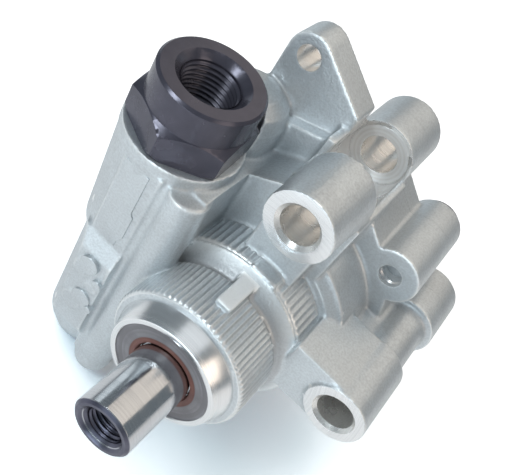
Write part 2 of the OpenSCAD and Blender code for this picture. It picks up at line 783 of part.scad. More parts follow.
// Seal ring of the pressure plate, flattened against the chamber wall
module plate_o_ring() {
  color(rubber_c) turned_y() translate([chamber_r - 1.1, plate_y + plate_t / 2]) {
    intersection() {
      circle(r = 1.25);
      square([2.2, 3], center = true);
    }
  }
}

// Cam ring with a two-lobed bore
module cam_ring() {
  color(steel_c) difference() {
    rod_y(0, 0, ring_y, thrust_y, ring_r);
    rod_y(0, 0, ring_y - eps, thrust_y + eps, rotor_r + pass_gap);
    for (s = [-1, 1]) {
      rod_y(s * (lobe + 2 * pass_gap), 0, ring_y - eps, thrust_y + eps, rotor_r - pass_gap);
      rod_y(0, s * dowel_z, ring_y - eps, thrust_y + eps, dowel_r + run_gap);
    }
  }
}

// Two pins that line up plates, ring and cover
module dowel_pins() {
  color(steel_c) for (s = [-1, 1]) {
    rod_y(0, s * dowel_z, chamber_y - dowel_in, joint_y + dowel_in, dowel_r);
  }
}

// Slotted rotor on the shaft spline
module rotor() {
  color(steel_c) difference() {
    rod_y(0, 0, ring_y + end_gap, thrust_y - end_gap, rotor_r);
    prism_y(ring_y - eps, thrust_y + eps) polygon(splined(spline_root_r, spline_tip_r, spline_teeth));
    rod_y(0, 0, clip_y - clip_play, thrust_y + eps, clip_r + clip_play);
    for (i = [0 : vanes_n - 1]) {
      rotate([0, (i + 0.5) * 360 / vanes_n, 0]) {
        block([slot_r, ring_y - eps, -vane_t / 2], [rotor_r + eps, thrust_y + eps, vane_t / 2]);
        rod_y(slot_r, 0, ring_y - eps, thrust_y + eps, vane_t / 2 + 0.3);
      }
    }
  }
}

// One vane, drawn back into its rotor slot
module vane(i) {
  color(steel_c) rotate([0, (i - 0.5) * 360 / vanes_n, 0]) {
    block([slot_r, ring_y + end_gap, -vane_t / 2], [rotor_r, thrust_y - end_gap, vane_t / 2]);
  }
}

// Clip that keeps the rotor on the spline
module rotor_clip() {
  color(steel_c) difference() {
    rod_y(0, 0, clip_y, clip_y + clip_t, clip_r);
    rod_y(0, 0, clip_y - eps, clip_y + clip_t + eps, clip_hole_r);
    block([0, clip_y - eps, -clip_mouth / 2], [clip_r + eps, clip_y + clip_t + eps, clip_mouth / 2]);
  }
}

// Thrust plate between ring and cover
module thrust_plate() {
  color(steel_c) difference() {
    rod_y(0, 0, thrust_y, joint_y, ring_r);
    rod_y(0, 0, thrust_y - eps, joint_y + eps, shaft_r + pass_gap);
    plate_openings(thrust_y - eps, joint_y + eps);
  }
}

// Seal ring between housing and cover
module cover_o_ring() {
  color(rubber_c) turned_y() translate([chamber_r + 3.1, joint_y - seal_groove / 2]) {
    intersection() {
      circle(r = 1.15);
      square([3, seal_groove], center = true);
    }
  }
}

// Outlet fitting: stem, hexagon with turned corners, collar and outlet thread
module outlet_fitting() {
  color(black_c) translate([valve_x, valve_y, 0]) difference() {
    union() {
      translate([0, 0, stem_z]) cylinder(h = seat_z - stem_z, r = stem_r);
      intersection() {
        translate([0, 0, seat_z]) rotate(hex_turn) cylinder(h = collar_z - seat_z, r = hex_r, $fn = 6);
        rotate_extrude() {
          polygon([[0, seat_z], [hex_out_r - hex_base, seat_z], [hex_out_r, seat_z + hex_base],
                   [hex_out_r, collar_z - (hex_out_r - hex_top_r) * tan(hex_crown)],
                   [hex_top_r, collar_z], [0, collar_z]]);
        }
      }
      translate([0, 0, collar_z - eps]) cylinder(h = fitting_top - 0.7 - collar_z + eps, r = collar_r);
      translate([0, 0, fitting_top - 0.7]) cylinder(h = 0.7, r1 = collar_r, r2 = collar_r - 0.7);
    }
    translate([0, 0, fitting_top - outlet_depth]) cylinder(h = outlet_depth + eps, r = outlet_r);
    translate([0, 0, fitting_top - outlet_mouth_r + outlet_r]) {
      cylinder(h = outlet_mouth_r - outlet_r + 0.01, r1 = outlet_r, r2 = outlet_mouth_r);
    }
    translate([0, 0, stem_z - eps]) {
      cylinder(h = fitting_top - stem_z - outlet_depth + 2 * eps, r = spool_hole_r);
    }
  }
}

// Seal ring under the hexagon
module fitting_o_ring() {
  color(rubber_c) translate([valve_x, valve_y, seat_z - seal_groove / 2]) rotate_extrude() {
    translate([stem_r + 1.1, 0]) intersection() {
      circle(r = 1.15);
      translate([-1.1, -seal_groove / 2]) square([3, seal_groove]);
    }
  }
}

// Spool that sends surplus oil back
module flow_spool() {
  color(steel_c) translate([valve_x, valve_y, 0]) difference() {
    translate([0, 0, spool_low_z]) cylinder(h = spool_len, r = spool_r);
    rotate_extrude() for (h = [0.25, 0.62]) {
      translate([spool_r - spool_groove_d, spool_low_z + h * spool_len]) {
        square([2 * spool_groove_d, spool_groove_w]);
      }
    }
    translate([0, 0, spool_low_z - eps]) cylinder(h = spool_pocket_d + eps, r = spring_r - wire - pass_gap);
    translate([0, 0, spool_top_z - spool_pocket_d]) cylinder(h = spool_pocket_d + eps, r = spool_hole_r);
  }
}

// Coil spring under the spool, of flat wire
module valve_spring() {
  spring_h = spool_low_z - spool_bore_z;
  // Angle that the wire fills at any one height
  span = 360 * coils * wire / spring_h;
  steps = 5;
  fan = [for (i = [0 : steps]) span * i / steps];
  back = [for (i = [steps : -1 : 0]) span * i / steps];
  color(steel_c) translate([valve_x, valve_y, spool_bore_z]) {
    linear_extrude(height = spring_h, twist = -360 * coils, slices = 18 * coils, $fn = 3) {
      polygon(concat([for (a = fan) spring_r * [cos(a), sin(a)]],
                     [for (a = back) (spring_r - wire) * [cos(a), sin(a)]]));
    }
  }
}

front_housing();
rear_cover();
cover_screws();
drive_shaft();
seal_case();
seal_lip();
front_bush();
rear_bush();
plate_spring();
pressure_plate();
plate_o_ring();
cam_ring();
dowel_pins();
rotor();
rotor_clip();
thrust_plate();
cover_o_ring();
outlet_fitting();
fitting_o_ring();
flow_spool();
valve_spring();
for (i = [1 : vanes_n]) {
  vane(i);
}
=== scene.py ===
import math

import bmesh
import bpy
import numpy as np
from mathutils import Matrix, Vector


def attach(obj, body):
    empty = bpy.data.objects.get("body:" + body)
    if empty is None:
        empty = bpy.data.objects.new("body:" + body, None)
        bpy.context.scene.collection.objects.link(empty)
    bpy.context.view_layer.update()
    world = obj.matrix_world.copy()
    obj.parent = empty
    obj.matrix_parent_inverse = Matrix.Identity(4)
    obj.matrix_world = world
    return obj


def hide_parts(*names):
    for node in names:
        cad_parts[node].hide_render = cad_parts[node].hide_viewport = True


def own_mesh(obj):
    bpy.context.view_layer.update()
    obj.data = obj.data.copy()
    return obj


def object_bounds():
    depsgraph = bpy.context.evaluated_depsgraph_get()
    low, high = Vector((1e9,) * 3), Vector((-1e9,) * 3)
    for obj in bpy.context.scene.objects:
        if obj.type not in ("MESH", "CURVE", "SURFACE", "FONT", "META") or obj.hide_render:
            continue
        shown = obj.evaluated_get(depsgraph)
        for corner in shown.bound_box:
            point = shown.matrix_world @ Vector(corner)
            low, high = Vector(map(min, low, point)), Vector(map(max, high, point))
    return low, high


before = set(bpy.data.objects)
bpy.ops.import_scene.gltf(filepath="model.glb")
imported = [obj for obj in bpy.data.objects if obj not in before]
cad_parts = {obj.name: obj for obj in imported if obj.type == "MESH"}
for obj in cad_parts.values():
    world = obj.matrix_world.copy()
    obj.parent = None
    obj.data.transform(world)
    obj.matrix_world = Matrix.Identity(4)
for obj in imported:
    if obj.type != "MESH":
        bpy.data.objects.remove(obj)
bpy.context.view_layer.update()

MM = 0.001

# Places and sizes on the part in millimetres; holes along the shaft are given by x and z

NOSE_LEN = 5.8
NOSE_BORE_R = 14.75
JOINT_Y = 73.8
UPPER = (1.0, 47.3)
SIDE = (38.6, 8.5)
MOUNT_R = 5.25
MOUNT_FACE_Y = 22.4
REAR_FACE_Y = 83.4
POCKET_Y = (42.75, 64.35)
POCKET_R = 8.8
POCKET_HALF = 8.35
EAR = (-26.4, 61.5)
LUGS = [(25.3, 28.3), (-25.3, 28.3), (-25.3, -28.3), (25.3, -28.3)]
LUG_FACE_Y = 84.4
SMALL_HOLE_R = 3.4
VALVE_X, VALVE_Y = -35.8, 29.5
FITTING_SEAT_Z = 39.2
PORT_Y, PORT_Z, PORT_R = 50.5, 32.0, 7.0

# Start, end and crest radius of the two fluted barrels
BARRELS = [(NOSE_LEN, 20.8, 20.7), (25.3, 36.8, 25.0)]

# Centre and direction of the axes that tool lines run round, in metres
SHAFT_AXIS = ((0.0, 0.0, 0.0), (0.0, 1.0, 0.0))
VALVE_AXIS = ((VALVE_X * MM, VALVE_Y * MM, 0.0), (0.0, 0.0, 1.0))
UPPER_AXIS = ((UPPER[0] * MM, 0.0, UPPER[1] * MM), (0.0, 1.0, 0.0))


# Shader helpers

def new_node(tree, kind, **values):
    """One shader node with its plain settings and unlinked inputs set."""
    node = tree.nodes.new(kind)
    for key, value in values.items():
        if hasattr(node, key):
            setattr(node, key, value)
        else:
            node.inputs[key.replace("_", " ")].default_value = value
    return node


def maths(tree, operation, a, b=None):
    """A Math node; numbers are set and sockets are linked."""
    node = tree.nodes.new("ShaderNodeMath")
    node.operation = operation
    for socket, value in zip(node.inputs, (a, b)):
        if value is None:
            continue
        if isinstance(value, (int, float)):
            socket.default_value = value
        else:
            tree.links.new(value, socket)
    return node.outputs[0]


def span(tree, value, low, high, out_low=0.0, out_high=1.0):
    """A value moved from one range to another and held inside it."""
    node = new_node(tree, "ShaderNodeMapRange", clamp=True)
    tree.links.new(value, node.inputs["Value"])
    limits = {"From Min": low, "From Max": high, "To Min": out_low, "To Max": out_high}
    for socket, setting in limits.items():
        if isinstance(setting, (int, float)):
            node.inputs[socket].default_value = setting
        else:
            tree.links.new(setting, node.inputs[socket])
    return node.outputs["Result"]


def blend_colour(tree, factor, a, b):
    """Mix of two colours by a factor."""
    node = tree.nodes.new("ShaderNodeMix")
    node.data_type = "RGBA"
    for socket, value in ((node.inputs[0], factor), (node.inputs[6], a), (node.inputs[7], b)):
        if isinstance(value, (int, float)):
            socket.default_value = value
        elif isinstance(value, tuple):
            socket.default_value = (*value, 1.0)
        else:
            tree.links.new(value, socket)
    return node.outputs[2]


def group_with(name, inputs, outputs):
    """An empty shader group with named sockets: the tree, its input node and its output node."""
    tree = bpy.data.node_groups.new(name, "ShaderNodeTree")
    for label, kind, value in inputs:
        socket = tree.interface.new_socket(label, in_out="INPUT", socket_type=kind)
        socket.default_value = value
    for label, kind in outputs:
        tree.interface.new_socket(label, in_out="OUTPUT", socket_type=kind)
    return tree, tree.nodes.new("NodeGroupInput"), tree.nodes.new("NodeGroupOutput")


def make_cast_skin():
    """Sand-fine grain, blotches and small dark pits of a casting's skin."""
    tree, inside, out = group_with(
        "cast_skin",
        [("Blotch Size", "NodeSocketFloat", 0.012), ("Grain Size", "NodeSocketFloat", 0.0005),
         ("Pit Amount", "NodeSocketFloat", 0.5)],
        [("Blotch", "NodeSocketFloat"), ("Grain", "NodeSocketFloat"), ("Pits", "NodeSocketFloat"),
         ("Height", "NodeSocketFloat")])
    place = tree.nodes.new("ShaderNodeTexCoord").outputs["Object"]

    def noise(scale, detail, rough):
        node = new_node(tree, "ShaderNodeTexNoise", Detail=detail, Roughness=rough)
        tree.links.new(place, node.inputs["Vector"])
        tree.links.new(scale, node.inputs["Scale"])
        return node.outputs["Fac"]

    wide = maths(tree, "DIVIDE", 1.0, inside.outputs["Blotch Size"])
    fine = maths(tree, "DIVIDE", 1.0, inside.outputs["Grain Size"])
    blotch = noise(wide, 4.0, 0.55)
    grain = noise(fine, 2.0, 0.5)
    middle = noise(maths(tree, "MULTIPLY", wide, 5.0), 3.0, 0.6)
    pits = span(tree, noise(maths(tree, "MULTIPLY", fine, 0.22), 2.0, 0.5), 0.67, 0.73)
    pits = maths(tree, "MULTIPLY", pits, inside.outputs["Pit Amount"])
    tree.links.new(span(tree, blotch, 0.3, 0.7), out.inputs["Blotch"])
    tree.links.new(grain, out.inputs["Grain"])
    tree.links.new(pits, out.inputs["Pits"])
    height = maths(tree, "ADD", maths(tree, "MULTIPLY", grain, 0.6),
                   maths(tree, "MULTIPLY", middle, 0.9))
    height = maths(tree, "SUBTRACT", height, maths(tree, "MULTIPLY", pits, 0.8))
    tree.links.new(height, out.inputs["Height"])
    return tree


def make_edge_and_hollow():
    """Masks for a painted highlight on outer edges, partly edge wear, and for painted shade in hollows."""
    tree, inside, out = group_with(
        "edge_and_hollow",
        [("Edge Start", "NodeSocketFloat", 0.52), ("Edge Full", "NodeSocketFloat", 0.6),
         ("Hollow Start", "NodeSocketFloat", 0.48), ("Hollow Full", "NodeSocketFloat", 0.4)],
        [("Edge", "NodeSocketFloat"), ("Hollow", "NodeSocketFloat")])
    sharp = tree.nodes.new("ShaderNodeNewGeometry").outputs["Pointiness"]
    for mask in ("Edge", "Hollow"):
        low, high = inside.outputs[mask + " Start"], inside.outputs[mask + " Full"]
        tree.links.new(span(tree, sharp, low, high), out.inputs[mask])
    return tree


def make_turned_lines():
    """Fine tool lines round an axis, on turned sides and faced ends alike."""
    tree, inside, out = group_with(
        "turned_lines",
        [("Centre", "NodeSocketVector", (0.0, 0.0, 0.0)),
         ("Axis", "NodeSocketVector", (0.0, 1.0, 0.0)), ("Spacing", "NodeSocketFloat", 0.0003)],
        [("Lines", "NodeSocketFloat"), ("Bands", "NodeSocketFloat")])
    place = tree.nodes.new("ShaderNodeTexCoord").outputs["Object"]

    def vector(operation, a, b):
        node = tree.nodes.new("ShaderNodeVectorMath")
        node.operation = operation
        tree.links.new(a, node.inputs[0])
        if b is not None:
            tree.links.new(b, node.inputs[3] if operation == "SCALE" else node.inputs[1])
        single = operation in ("DOT_PRODUCT", "LENGTH")
        return node.outputs["Value" if single else "Vector"]

    away = vector("SUBTRACT", place, inside.outputs["Centre"])
    along = vector("DOT_PRODUCT", away, inside.outputs["Axis"])
    lift = vector("SCALE", inside.outputs["Axis"], along)
    radius = vector("LENGTH", vector("SUBTRACT", away, lift), None)
    rate = maths(tree, "DIVIDE", 1.0, inside.outputs["Spacing"])
    both = tree.nodes.new("ShaderNodeCombineXYZ")
    tree.links.new(maths(tree, "MULTIPLY", along, rate), both.inputs[0])
    tree.links.new(maths(tree, "MULTIPLY", radius, rate), both.inputs[1])
    for mask, scale, rough in (("Lines", 1.0, 0.6), ("Bands", 0.12, 0.5)):
        noise = new_node(tree, "ShaderNodeTexNoise", noise_dimensions="2D", Scale=scale, Detail=2.0,
                         Roughness=rough)
        tree.links.new(both.outputs[0], noise.inputs["Vector"])
        tree.links.new(noise.outputs["Fac"], out.inputs[mask])
    return tree


cast_skin = make_cast_skin()
edge_and_hollow = make_edge_and_hollow()
turned_lines = make_turned_lines()


def start_material(name, metallic, specular=0.5):
    """A material with one Principled shader; returns the material, its tree and the shader."""
    material = bpy.data.materials.new(name)
    material.use_nodes = True
    tree = material.node_tree
    shader = tree.nodes["Principled BSDF"]
    shader.inputs["Metallic"].default_value = metallic
    shader.inputs["Specular IOR Level"].default_value = specular
    return material, tree, shader


def place_group(tree, group, **values):
    """A shared group placed in a material with its own values."""
    node = tree.nodes.new("ShaderNodeGroup")
    node.node_tree = group
    for key, value in values.items():
        node.inputs[key.replace("_", " ")].default_value = value
    return node.outputs


def object_place(tree):
    """The place on the object, split into x, y and z."""
    place = tree.nodes.new("ShaderNodeSeparateXYZ")
    tree.links.new(tree.nodes.new("ShaderNodeTexCoord").outputs["Object"], place.inputs[0])
    return place.outputs


def shaft_distance(tree, place):
    """Distance of a split place from the shaft axis."""
    x_squared = maths(tree, "MULTIPLY", place[0], place[0])
    z_squared = maths(tree, "MULTIPLY", place[2], place[2])
    return maths(tree, "SQRT", maths(tree, "ADD", x_squared, z_squared))


def bump_from(tree, shader, height, strength, depth):
    """Relief from a height value."""
    bump = new_node(tree, "ShaderNodeBump", Strength=strength, Distance=depth)
    tree.links.new(height, bump.inputs["Height"])
    tree.links.new(bump.outputs["Normal"], shader.inputs["Normal"])


CAST_TONE, CAST_DARK = (0.72, 0.76, 0.785), (0.47, 0.475, 0.48)
# Painted highlight colours: the first for outer edges, partly edge wear, the second for the outer band of
# the neck between the barrels
WORN_SHEEN, PALE = (0.95, 0.955, 0.95), (0.9, 0.93, 0.94)
# The first colour is painted shade for hollows; the second is the colour of pits
HOLLOW_SHADE, PIT = (0.3, 0.305, 0.315), (0.3, 0.29, 0.28)
# Distances from the joint over which the painted edge highlight fades in
JOINT_FADE = (3.0 * MM, 4.5 * MM)


def cast_aluminium(name, tone=CAST_TONE, dark=CAST_DARK, sheen=0.8, metallic=0.85, pale_from=None):
    """Satin skin of the aluminium casting, with a painted highlight on outer edges, partly edge wear, and
    painted shade in hollows.

    With pale_from, two distances from the shaft axis in millimetres, a painted highlight turns the skin
    pale between them.
    The cut edges at the joint get no painted edge highlight.
    """
    material, tree, shader = start_material(name, metallic)
    skin = place_group(tree, cast_skin, Blotch_Size=0.016, Grain_Size=0.0006, Pit_Amount=0.15)
    form = place_group(tree, edge_and_hollow, Edge_Start=0.508, Edge_Full=0.55,
                       Hollow_Start=0.49, Hollow_Full=0.42)
    place = object_place(tree)
    from_joint = maths(tree, "ABSOLUTE", maths(tree, "SUBTRACT", place[1], JOINT_Y * MM))
    # Outer edges get a painted highlight, partly edge wear, which fades out near the joint
    edge = maths(tree, "MULTIPLY", form["Edge"], span(tree, from_joint, *JOINT_FADE))
    colour = blend_colour(tree, maths(tree, "MULTIPLY", skin["Blotch"], 0.35), tone, dark)
    colour = blend_colour(tree, span(tree, skin["Grain"], 0.35, 0.65, 0.0, 0.3), colour, dark)
    # A painted highlight pales the skin between two distances from the shaft axis
    if pale_from:
        pale = span(tree, shaft_distance(tree, place), pale_from[0] * MM, pale_from[1] * MM)
        colour = blend_colour(tree, pale, colour, PALE)
    # Painted shade in the hollows, the painted edge highlight and the pits are mixed into the colour
    patches = ((form["Hollow"], 0.65, HOLLOW_SHADE), (edge, sheen, WORN_SHEEN), (skin["Pits"], 0.6, PIT))
    for mask, share, patch in patches:
        colour = blend_colour(tree, maths(tree, "MULTIPLY", mask, share), colour, patch)
    tree.links.new(colour, shader.inputs["Base Color"])
    rough = span(tree, skin["Grain"], 0.3, 0.7, 0.4, 0.54)
    rough = maths(tree, "SUBTRACT", rough, maths(tree, "MULTIPLY", edge, 0.1))
    tree.links.new(rough, shader.inputs["Roughness"])
    bump_from(tree, shader, skin["Height"], 0.5, 0.00025)
    return material


def turned_metal(name, tone, dark, axis, spacing, rough, relief, metallic=1.0):
    """Bright turned or ground metal with tool lines round an axis."""
    material, tree, shader = start_material(name, metallic)
    lines = place_group(tree, turned_lines, Centre=axis[0], Axis=axis[1], Spacing=spacing)
    skin = place_group(tree, cast_skin, Blotch_Size=0.009, Grain_Size=0.0004, Pit_Amount=0.25)
    streak = span(tree, lines["Lines"], 0.35, 0.7)
    colour = blend_colour(tree, maths(tree, "MULTIPLY", streak, 0.5), tone, dark)
    colour = blend_colour(tree, maths(tree, "MULTIPLY", skin["Blotch"], 0.25), colour, dark)
    tree.links.new(colour, shader.inputs["Base Color"])
    tree.links.new(span(tree, lines["Bands"], 0.3, 0.7, *rough), shader.inputs["Roughness"])
    bump_from(tree, shader, lines["Lines"], relief, 0.00004)
    return material


def shaft_steel(name):
    """Polished shaft steel, blue-black on the turned end and inside its hole."""
    material, tree, shader = start_material(name, 1.0)
    lines = place_group(tree, turned_lines, Centre=SHAFT_AXIS[0], Axis=SHAFT_AXIS[1], Spacing=0.0005)
    skin = place_group(tree, cast_skin, Blotch_Size=0.006, Grain_Size=0.0004, Pit_Amount=0.1)
    place = object_place(tree)
    end_face = span(tree, place[1], -20.4 * MM, -20.6 * MM)
    hole = span(tree, shaft_distance(tree, place), 6.0 * MM, 5.9 * MM)
    end = maths(tree, "MAXIMUM", end_face, hole)
    streak = maths(tree, "MULTIPLY", span(tree, lines["Lines"], 0.35, 0.7), 0.35)
    ground = blend_colour(tree, streak, (0.62, 0.63, 0.65), (0.45, 0.46, 0.48))
    blackened = blend_colour(tree, skin["Blotch"], (0.1, 0.1, 0.14), (0.16, 0.16, 0.2))
    tree.links.new(blend_colour(tree, end, ground, blackened), shader.inputs["Base Color"])
    rough = span(tree, lines["Bands"], 0.3, 0.7, 0.12, 0.2)
    rough = maths(tree, "ADD", rough, maths(tree, "MULTIPLY", end, 0.2))
    tree.links.new(rough, shader.inputs["Roughness"])
    bump_from(tree, shader, lines["Lines"], 0.05, 0.00004)
    return material


def black_oxide(name):
    """Blackened steel with a faint violet cast and a few pits."""
    material, tree, shader = start_material(name, 0.5)
    skin = place_group(tree, cast_skin, Blotch_Size=0.008, Grain_Size=0.0004, Pit_Amount=0.3)
    lines = place_group(tree, turned_lines, Centre=VALVE_AXIS[0], Axis=VALVE_AXIS[1], Spacing=0.0004)
    colour = blend_colour(tree, skin["Blotch"], (0.07, 0.067, 0.09), (0.105, 0.1, 0.13))
    colour = blend_colour(tree, maths(tree, "MULTIPLY", skin["Pits"], 0.5), colour, (0.09, 0.085, 0.09))
    tree.links.new(colour, shader.inputs["Base Color"])
    tree.links.new(span(tree, skin["Blotch"], 0.0, 1.0, 0.2, 0.3), shader.inputs["Roughness"])
    bump_from(tree, shader, lines["Lines"], 0.06, 0.00005)
    return material


def rubber(name, tone, dark, rough):
    """Moulded rubber with faint rings from its mould."""
    material, tree, shader = start_material(name, 0.0, 0.4)
    skin = place_group(tree, cast_skin, Blotch_Size=0.006, Grain_Size=0.0003, Pit_Amount=0.2)
    lines = place_group(tree, turned_lines, Centre=SHAFT_AXIS[0], Axis=SHAFT_AXIS[1], Spacing=0.0009)
    colour = blend_colour(tree, skin["Blotch"], tone, dark)
    colour = blend_colour(tree, span(tree, lines["Lines"], 0.4, 0.75), colour, dark)
    tree.links.new(colour, shader.inputs["Base Color"])
    rough = span(tree, skin["Grain"], 0.3, 0.7, rough - 0.08, rough + 0.08)
    tree.links.new(rough, shader.inputs["Roughness"])
    bump_from(tree, shader, lines["Lines"], 0.2, 0.0001)
    return material


ALUMINIUM = cast_aluminium("cast_aluminium")
MARK_ALUMINIUM = cast_aluminium("marked_aluminium", sheen=0.0)
# Painted highlight: a near-white, barely metallic skin that makes the rib's top show white
HIGHLIT = cast_aluminium("highlit_aluminium", (0.97, 0.975, 0.97), (0.9, 0.9, 0.89), metallic=0.2)
# Painted shade on the neck between the barrels, paling outwards into a painted highlight
NECK_SHADING = cast_aluminium("neck_shading_aluminium", (0.56, 0.58, 0.6), (0.4, 0.405, 0.41), pale_from=(21.2, 24.2))
MACHINED = turned_metal("machined_aluminium", (0.9, 0.905, 0.91), (0.7, 0.71, 0.72), SHAFT_AXIS,
                        spacing=0.0003, rough=(0.2, 0.28), relief=0.02)
STEEL = turned_metal("ground_steel", (0.6, 0.6, 0.62), (0.42, 0.42, 0.45), SHAFT_AXIS,
                     spacing=0.00025, rough=(0.2, 0.3), relief=0.1)
SHAFT_STEEL = shaft_steel("shaft_steel")
BORED = turned_metal("bored_aluminium", (0.93, 0.92, 0.9), (0.72, 0.68, 0.64), SHAFT_AXIS,
                     spacing=0.0004, rough=(0.24, 0.36), relief=0.05, metallic=0.75)
SPOT_FACED = turned_metal("spot_faced_aluminium", (0.95, 0.96, 0.965), (0.76, 0.74, 0.72), UPPER_AXIS,
                          spacing=0.0005, rough=(0.26, 0.4), relief=0.06, metallic=0.6)
SPOOL_STEEL = turned_metal("lapped_steel", (0.62, 0.62, 0.63), (0.45, 0.45, 0.47), VALVE_AXIS,
                           spacing=0.00025, rough=(0.18, 0.28), relief=0.1)
BRONZE = turned_metal("bush_bronze", (0.62, 0.47, 0.27), (0.42, 0.3, 0.17), SHAFT_AXIS,
                      spacing=0.0003, rough=(0.3, 0.4), relief=0.1)
BLACK = black_oxide("black_oxide")
SEAL_RUBBER = rubber("seal_rubber", (0.3, 0.285, 0.3), (0.2, 0.185, 0.195), 0.45)
LIP_RUBBER = rubber("lip_rubber", (0.26, 0.11, 0.085), (0.16, 0.07, 0.06), 0.5)


# Mesh helpers

def finish_object(name, mesh, materials, body="housing", sharp=35.0):
    """Links a mesh as a piece that rides on a body."""
    obj = loose_object(name, mesh)
    for material in materials:
        mesh.materials.append(material)
    mesh.shade_smooth()
    mesh.set_sharp_from_angle(angle=math.radians(sharp))
    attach(obj, body)
    return obj


def turned(name, profile, axis, segments=160):
    """Closed ring made by turning an outline of (radius, along) in millimetres about an axis."""
    centre, direction = Vector(axis[0]), Vector(axis[1])
    side = Vector((1.0, 0.0, 0.0))
    other = direction.cross(side)
    mesh = bpy.data.meshes.new(name)
    verts, faces = [], []
    count = len(profile)
    for k in range(segments):
        a = 2.0 * math.pi * k / segments
        out = side * math.cos(a) + other * math.sin(a)
        verts += [centre + out * (r * MM) + direction * (y * MM) for r, y in profile]
    for k in range(segments):
        here, there = k * count, (k + 1) % segments * count
        for i in range(count):
            n = (i + 1) % count
            faces.append((here + i, here + n, there + n, there + i))
    mesh.from_pydata(verts, [], faces)
    return outward(mesh)


def outward(mesh):
    """Turns all faces of a closed or tube-shaped mesh outwards."""
    work = bmesh.new()
    work.from_mesh(mesh)
    bmesh.ops.recalc_face_normals(work, faces=work.faces)
    work.to_mesh(mesh)
    work.free()
    return mesh


def add_rod(work, centre, direction, length, r0, r1=None, sides=64):
    """Adds a closed rod or cone to a mesh under work, sizes in millimetres."""
    r1 = r0 if r1 is None else r1
    turn = Vector((0, 0, 1)).rotation_difference(Vector(direction)).to_matrix().to_4x4()
    middle = Vector(centre) + Vector(direction) * (length / 2.0)
    bmesh.ops.create_cone(work, cap_ends=True, segments=sides, radius1=r0 * MM, radius2=r1 * MM,
                          depth=length * MM, matrix=Matrix.Translation(middle * MM) @ turn)


def as_mesh(work, name):
    """A new mesh from a mesh under work, which is freed."""
    mesh = bpy.data.meshes.new(name)
    work.to_mesh(mesh)
    work.free()
    return mesh


def box_mesh(name, low, high):
    """A box between two corners in millimetres."""
    work = bmesh.new()
    size = [(h - l) * MM for l, h in zip(low, high)]
    middle = [(h + l) / 2.0 * MM for l, h in zip(low, high)]
    place = Matrix.Translation(middle) @ Matrix.Diagonal((*size, 1.0))
    bmesh.ops.create_cube(work, size=1.0, matrix=place)
    return as_mesh(work, name)


def shaped(obj):
    """The mesh of an object with its modifiers applied."""
    graph = bpy.context.evaluated_depsgraph_get()
    return bpy.data.meshes.new_from_object(obj.evaluated_get(graph))


def loose_object(name, data):
    """A linked object that rides on no body."""
    obj = bpy.data.objects.new(name, data)
    bpy.context.scene.collection.objects.link(obj)
    return obj


def remove(obj):
    """Takes a shaping object away again."""
    bpy.data.objects.remove(obj, do_unlink=True)


def cut(mesh, cutter, name, keep=False):
    """The mesh without the cutter, or the part inside it."""
    body, tool = loose_object(name, mesh), loose_object(name + "_tool", cutter)
    step = body.modifiers.new("cut", "BOOLEAN")
    step.operation = "INTERSECT" if keep else "DIFFERENCE"
    step.solver = "MANIFOLD"
    step.object = tool
    result = shaped(body)
    remove(body)
    remove(tool)
    return result


# The casting: housing and cover are rounded together and parted at their joint

ACROSS, ALONG, UP = (1, 0, 0), (0, 1, 0), (0, 0, 1)
RIB_X, RIB_HALF = 0.2, 2.8
RIB_Y, RIB_Z = (11.5, 24.0), (21.0, 25.0)
FLUTE_SINK = 0.6
JOINT_GAP = 0.03
VOXEL = 0.45 * MM
LEAST_LIFT = 0.012 * MM
LIFT_SHARE = 0.6
PIECE_TRIANGLES = 190000
CASTING_FINISHES = (ALUMINIUM, MACHINED, BORED, HIGHLIT, NECK_SHADING, SPOT_FACED)

# Turns of filling, and the box they work in: all over, beside the tube, at the kink left of the pad
FILLETS = [(5, (-99.0, -99.0, -99.0), (99.0, 99.0, 99.0)),
           (30, (-32.0, 11.0, -56.0), (-24.0, 20.0, 34.0)),
           (40, (-46.0, 11.0, -3.0), (-39.0, 21.0, 11.0))]


def sink_flutes(work):
    """Sinks the fluted surfaces a little, because the flutes are pieces of their own."""
    for v in work.verts:
        radius = math.hypot(v.co.x, v.co.z)
        for start, end, outer in BARRELS:
            inside = (start - 0.05) * MM < v.co.y < (end + 0.05) * MM
            if inside and (outer - 0.45) * MM < radius < (outer + 0.05) * MM:
                v.co.x *= (outer - FLUTE_SINK) * MM / radius
                v.co.z *= (outer - FLUTE_SINK) * MM / radius


def close_mouths(work):
    """Plugs the mouths of all holes, which are cut open again with clean edges afterwards."""
    # x, z, start, length and radius of the plugs along the shaft
    plugs = [(0.0, 0.0, 0.3, 8.0, 15.3), (0.0, 0.0, JOINT_Y - 3, 6.0, 31.5)]
    for hole in (UPPER, SIDE):
        plugs += [(*hole, 22.5, 3.0, 6.2), (*hole, 80.3, 3.0, 6.2)]
    plugs += [(*UPPER, 39.0, 3.6, 6.2), (*UPPER, 64.5, 3.6, 6.2), (*EAR, 54.0, 9.6, 4.0)]
    for lug in LUGS:
        plugs += [(*lug, 54.0, 4.0, 4.2), (*lug, 80.0, 4.3, 4.6)]
    for x, z, start, length, radius in plugs:
        add_rod(work, (x, start, z), ALONG, length, radius)
    add_rod(work, (VALVE_X, VALVE_Y, 35.0), UP, 4.2, 13.6)
    add_rod(work, (-49.8, PORT_Y, PORT_Z), ACROSS, 4.0, 7.6)


def rounded_casting():
    """Housing and cover as one closed skin with soft cast edges."""
    work = bmesh.new()
    for node in ("front_housing", "rear_cover"):
        work.from_mesh(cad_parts[node].data)
    bmesh.ops.remove_doubles(work, verts=work.verts, dist=2e-6)
    sink_flutes(work)
    close_mouths(work)
    obj = loose_object("casting", as_mesh(work, "casting"))
    skin = obj.modifiers.new("skin", "REMESH")
    skin.mode = "VOXEL"
    skin.voxel_size = VOXEL
    soft = obj.modifiers.new("soft", "SMOOTH")
    soft.factor = 0.5
    soft.iterations = 3
    result = shaped(obj)
    remove(obj)
    for turns, low, high in FILLETS:
        fill_corners(result, turns, low, high)
    return result


